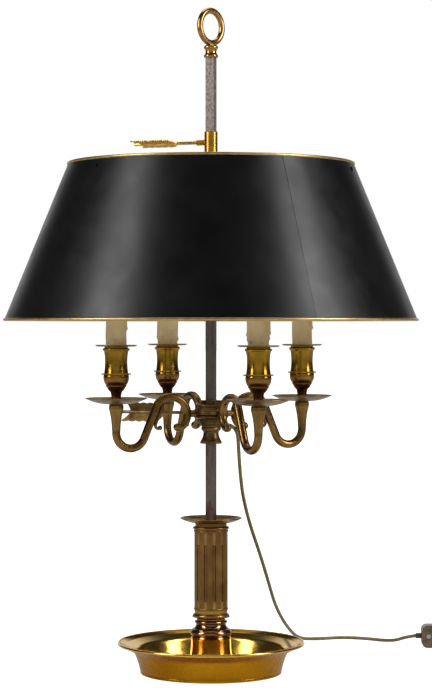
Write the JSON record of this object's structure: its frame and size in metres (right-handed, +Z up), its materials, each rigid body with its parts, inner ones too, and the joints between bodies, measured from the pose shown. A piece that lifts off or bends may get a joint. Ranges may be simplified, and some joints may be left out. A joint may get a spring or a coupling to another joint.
{
  "type": "table lamp",
  "caption": "Bouillotte table lamp: brass dish base, fluted column, steel stem, sliding candelabra and black metal shade, arrow thumbscrews, mains cord with switch.",
  "frame": {"origin": "on the stem's axis, at table level under the dish", "axes": "+Z up the stem, -X towards both thumbscrews, +X towards the cord's gland"},
  "size_m": [0.5659, 0.5493, 0.7644],
  "materials": {
    "dish": "polished",
    "column": "aged satin",
    "steel": "worn, lightly rusted",
    "fixings": "plain",
    "finial": "polished",
    "shade_paint": "satin black",
    "gilt_rim": "gilt",
    "spider": "satin",
    "collar": "polished",
    "upper_key": "worn polish",
    "hub": "dark patina",
    "arms": "brown patina",
    "pans": "aged satin",
    "cups": "polished with dark edges",
    "bobeches": "aged satin",
    "candle": "waxy",
    "lampholder": "ceramic white",
    "bulb_glass": "clear",
    "cord": "olive gold",
    "switch": "brown gold",
    "rocker": "dark brown",
    "switch_trim": "dark",
    "screws": "plain",
    "tie": "soft",
    "plug": "brown gold",
    "pins": "plated"
  },
  "bodies": {
    "base": {"dish_base": "dish", "column_foot": "column", "column_shaft": "column", "column_saucer": "column", "stem": "steel", "stem_washer": "fixings", "stem_nut": "fixings", "finial_ring": "finial", "cord_drop": "cord", "switch_front_shell": "switch", "switch_back_shell": "switch", "switch_strain_reliefs": "switch_trim", "switch_screws": "screws", "cord_tail": "cord", "cord_coil": "cord", "cord_tie": "tie", "plug_body": "plug", "plug_pins": "pins"},
    "shade": {"shade_cone": "shade_paint", "shade_top_rim": "gilt_rim", "shade_bottom_rim": "gilt_rim", "shade_collar": "collar", "shade_spider": "spider", "shade_rivets": "shade_paint"},
    "upper_key": {"shade_key": "upper_key"},
    "candelabra": {"hub": "hub", "hub_crown": "hub", "cord_gland": "hub", "arm_1": "arms", "arm_2": "arms", "arm_3": "arms", "arm_4": "arms", "drip_pan_1": "pans", "drip_pan_2": "pans", "drip_pan_3": "pans", "drip_pan_4": "pans", "candle_cup_1": "cups", "candle_cup_2": "cups", "candle_cup_3": "cups", "candle_cup_4": "cups", "bobeche_1": "bobeches", "bobeche_2": "bobeches", "bobeche_3": "bobeches", "bobeche_4": "bobeches", "candle_sleeve_1": "candle", "candle_sleeve_2": "candle", "candle_sleeve_3": "candle", "candle_sleeve_4": "candle", "lampholder_1": "lampholder", "lampholder_2": "lampholder", "lampholder_3": "lampholder", "lampholder_4": "lampholder", "bulb_1": "bulb_glass", "bulb_2": "bulb_glass", "bulb_3": "bulb_glass", "bulb_4": "bulb_glass"},
    "lower_key": {"hub_key": "hub"},
    "rocker": {"switch_rocker": "rocker"}
  },
  "joints": [
    {"name": "shade_slide", "type": "slide", "parent": "base", "child": "shade", "axis": [0, 0, 1], "range_m": [-0.045, 0.08]},
    {"name": "upper_key_turn", "type": "hinge", "parent": "shade", "child": "upper_key", "pos_m": [0, 0, 0.6098], "axis": [-1, 0, 0], "range_deg": [0, 270]},
    {"name": "candelabra_slide", "type": "slide", "parent": "base", "child": "candelabra", "axis": [0, 0, 1], "range_m": [-0.075, 0.04], "deforming": ["cord_drop"]},
    {"name": "lower_key_turn", "type": "hinge", "parent": "candelabra", "child": "lower_key", "pos_m": [0, 0, 0.2988], "axis": [-1, 0, 0], "range_deg": [0, 270]},
    {"name": "rocker_turn", "type": "hinge", "parent": "base", "child": "rocker", "pos_m": [0.20984, 0.28968, 0.014], "axis": [0, 0, 1], "range_deg": [-8, 8]}
  ]
}
